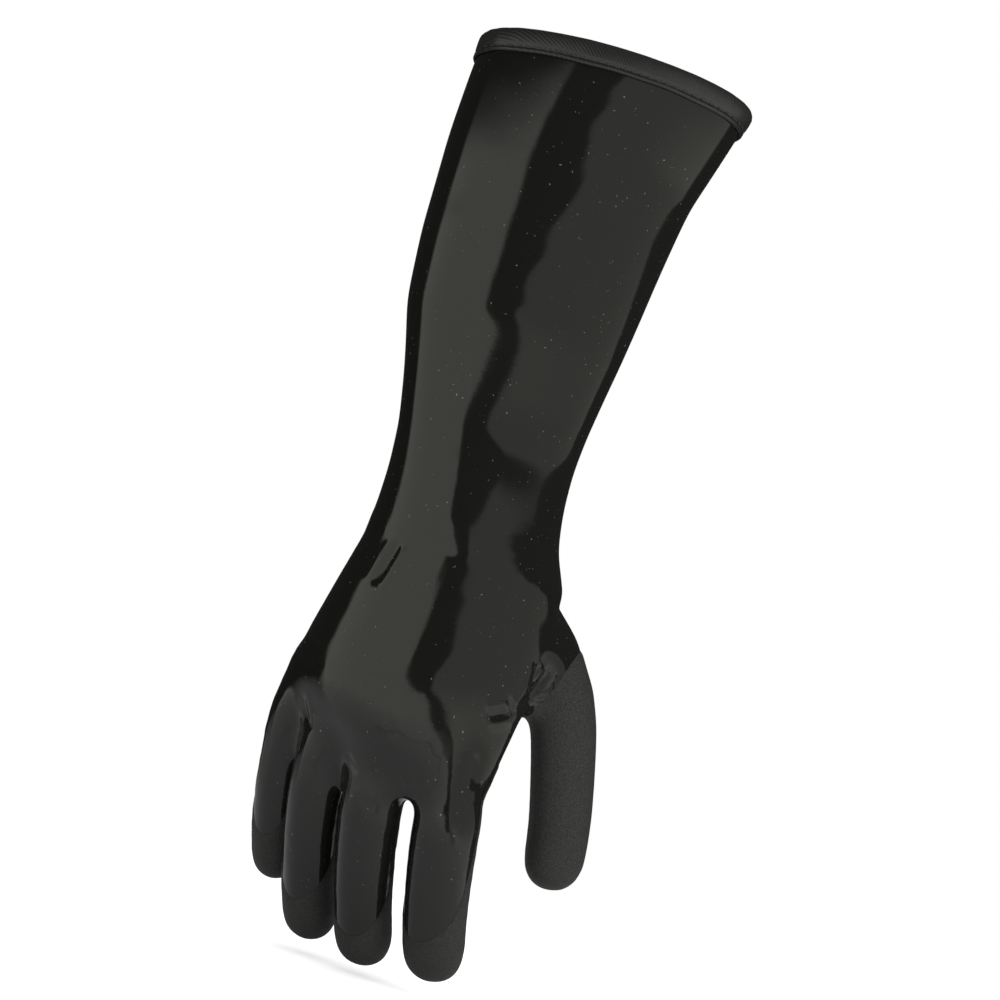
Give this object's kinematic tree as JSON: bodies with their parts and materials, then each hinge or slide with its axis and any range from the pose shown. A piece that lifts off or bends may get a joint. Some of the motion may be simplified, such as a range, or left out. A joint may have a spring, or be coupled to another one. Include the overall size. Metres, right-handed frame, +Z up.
{
  "type": "electrical insulating glove",
  "caption": "Right-hand insulating gauntlet glove: dipped rubber skin over a knitted liner, gritty grip coat on the palm side, tape-bound cuff, bending wrist, fingers and thumb.",
  "frame": {"origin": "centre of the cuff rim, in the plane of the binding tape's crest", "axes": "+Z up the arm out of the cuff, fingers pointing to -Z; +X to the thumb side; +Y out of the palm, so the back of the hand faces -Y"},
  "size_m": [0.1445, 0.0902, 0.3829],
  "materials": {
    "dipped_skin": "glossy dipped rubber with a faint orange-peel surface",
    "grip_coat": "matte, fine sandy grit",
    "liner_knit": "knitted cotton, napped",
    "binding_tape": "folded woven tape, slightly shiny",
    "thread": "twisted sewing thread"
  },
  "bodies": {
    "gauntlet": {"gauntlet_skin": "dipped_skin", "gauntlet_liner_back": "liner_knit", "gauntlet_liner_palm": "liner_knit", "cuff_binding": "binding_tape", "binding_stitches": "thread"},
    "wrist": {"wrist_skin": "dipped_skin", "wrist_liner": "liner_knit"},
    "hand": {"hand_skin": "dipped_skin", "palm_grip_coat": "grip_coat", "hand_liner_back": "liner_knit", "hand_liner_palm": "liner_knit"},
    "thumb_base": {"thumb_skin": "dipped_skin", "thumb_grip_coat": "grip_coat", "thumb_liner_base": "liner_knit"},
    "thumb_tip": {"thumb_liner_tip": "liner_knit"},
    "index_base": {"index_skin": "dipped_skin", "index_grip_coat": "grip_coat", "index_liner_base": "liner_knit"},
    "index_middle": {"index_liner_middle": "liner_knit"},
    "index_tip": {"index_liner_tip": "liner_knit"},
    "middle_base": {"middle_skin": "dipped_skin", "middle_grip_coat": "grip_coat", "middle_liner_base": "liner_knit"},
    "middle_middle": {"middle_liner_middle": "liner_knit"},
    "middle_tip": {"middle_liner_tip": "liner_knit"},
    "ring_base": {"ring_skin": "dipped_skin", "ring_grip_coat": "grip_coat", "ring_liner_base": "liner_knit"},
    "ring_middle": {"ring_liner_middle": "liner_knit"},
    "ring_tip": {"ring_liner_tip": "liner_knit"},
    "little_base": {"little_skin": "dipped_skin", "little_grip_coat": "grip_coat", "little_liner_base": "liner_knit"},
    "little_middle": {"little_liner_middle": "liner_knit"},
    "little_tip": {"little_liner_tip": "liner_knit"}
  },
  "joints": [
    {"name": "wrist_bend", "type": "hinge", "parent": "gauntlet", "child": "wrist", "pos_m": [-0.0062, 0, -0.165], "axis": [1, 0, 0], "range_deg": [-45, 45], "stiffness_Nm_per_rad": 1.5, "deforming": ["wrist_skin"]},
    {"name": "wrist_swing", "type": "hinge", "parent": "wrist", "child": "hand", "pos_m": [-0.0032, 0, -0.2], "axis": [0, -1, 0], "range_deg": [-22, 18], "stiffness_Nm_per_rad": 1.5, "deforming": ["wrist_skin"]},
    {"name": "thumb_open", "type": "hinge", "parent": "hand", "child": "thumb_base", "pos_m": [0.06042, 0.01167, -0.27712], "axis": [-0.6147, -0.7326, -0.2924], "range_deg": [-30, 15], "stiffness_Nm_per_rad": 0.06, "deforming": ["thumb_skin", "thumb_grip_coat"]},
    {"name": "thumb_tip_open", "type": "hinge", "parent": "thumb_base", "child": "thumb_tip", "pos_m": [0.06638, 0.01619, -0.30097], "axis": [-0.6147, -0.7326, -0.2924], "range_deg": [-45, 5], "stiffness_Nm_per_rad": 0.042, "deforming": ["thumb_skin", "thumb_grip_coat"]},
    {"name": "index_root_bend", "type": "hinge", "parent": "hand", "child": "index_base", "pos_m": [0.02422, -0.01305, -0.32281], "axis": [0.9481, -0.3081, 0.0785], "range_deg": [-15, 55], "stiffness_Nm_per_rad": 0.06, "deforming": ["index_skin", "index_grip_coat"]},
    {"name": "index_middle_bend", "type": "hinge", "parent": "index_base", "child": "index_middle", "pos_m": [0.02783, -0.00754, -0.34483], "axis": [0.9481, -0.3081, 0.0785], "range_deg": [-10, 55], "stiffness_Nm_per_rad": 0.042, "deforming": ["index_skin", "index_grip_coat"]},
    {"name": "index_tip_bend", "type": "hinge", "parent": "index_middle", "child": "index_tip", "pos_m": [0.03159, -0.00035, -0.362], "axis": [0.9481, -0.3081, 0.0785], "range_deg": [-7, 36], "stiffness_Nm_per_rad": 0.024, "deforming": ["index_skin", "index_grip_coat"]},
    {"name": "middle_root_bend", "type": "hinge", "parent": "hand", "child": "middle_base", "pos_m": [-0.00763, -0.00614, -0.32271], "axis": [0.9263, -0.3743, 0.0436], "range_deg": [-15, 55], "stiffness_Nm_per_rad": 0.06, "deforming": ["middle_skin", "middle_grip_coat"]},
    {"name": "middle_middle_bend", "type": "hinge", "parent": "middle_base", "child": "middle_middle", "pos_m": [-0.00347, 0.00142, -0.34615], "axis": [0.9263, -0.3743, 0.0436], "range_deg": [-10, 55], "stiffness_Nm_per_rad": 0.042, "deforming": ["middle_skin", "middle_grip_coat"]},
    {"name": "middle_tip_bend", "type": "hinge", "parent": "middle_middle", "child": "middle_tip", "pos_m": [0.00118, 0.0108, -0.36434], "axis": [0.9263, -0.3743, 0.0436], "range_deg": [-7, 36], "stiffness_Nm_per_rad": 0.024, "deforming": ["middle_skin", "middle_grip_coat"]},
    {"name": "ring_root_bend", "type": "hinge", "parent": "hand", "child": "ring_base", "pos_m": [-0.03251, 0.00572, -0.31575], "axis": [0.8909, -0.4539, -0.0175], "range_deg": [-15, 55], "stiffness_Nm_per_rad": 0.06, "deforming": ["ring_skin", "ring_grip_coat"]},
    {"name": "ring_middle_bend", "type": "hinge", "parent": "ring_base", "child": "ring_middle", "pos_m": [-0.02889, 0.01378, -0.34019], "axis": [0.8909, -0.4539, -0.0175], "range_deg": [-10, 55], "stiffness_Nm_per_rad": 0.042, "deforming": ["ring_skin", "ring_grip_coat"]},
    {"name": "ring_tip_bend", "type": "hinge", "parent": "ring_middle", "child": "ring_tip", "pos_m": [-0.0243, 0.02357, -0.36048], "axis": [0.8909, -0.4539, -0.0175], "range_deg": [-7, 36], "stiffness_Nm_per_rad": 0.024, "deforming": ["ring_skin", "ring_grip_coat"]},
    {"name": "little_root_bend", "type": "hinge", "parent": "hand", "child": "little_base", "pos_m": [-0.05171, 0.02008, -0.30183], "axis": [0.8366, -0.5433, -0.0698], "range_deg": [-15, 55], "stiffness_Nm_per_rad": 0.06, "deforming": ["little_skin", "little_grip_coat"]},
    {"name": "little_middle_bend", "type": "hinge", "parent": "little_base", "child": "little_middle", "pos_m": [-0.04946, 0.0265, -0.32483], "axis": [0.8366, -0.5433, -0.0698], "range_deg": [-10, 55], "stiffness_Nm_per_rad": 0.042, "deforming": ["little_skin", "little_grip_coat"]},
    {"name": "little_tip_bend", "type": "hinge", "parent": "little_middle", "child": "little_tip", "pos_m": [-0.0461, 0.03401, -0.34305], "axis": [0.8366, -0.5433, -0.0698], "range_deg": [-7, 36], "stiffness_Nm_per_rad": 0.024, "deforming": ["little_skin", "little_grip_coat"]}
  ]
}
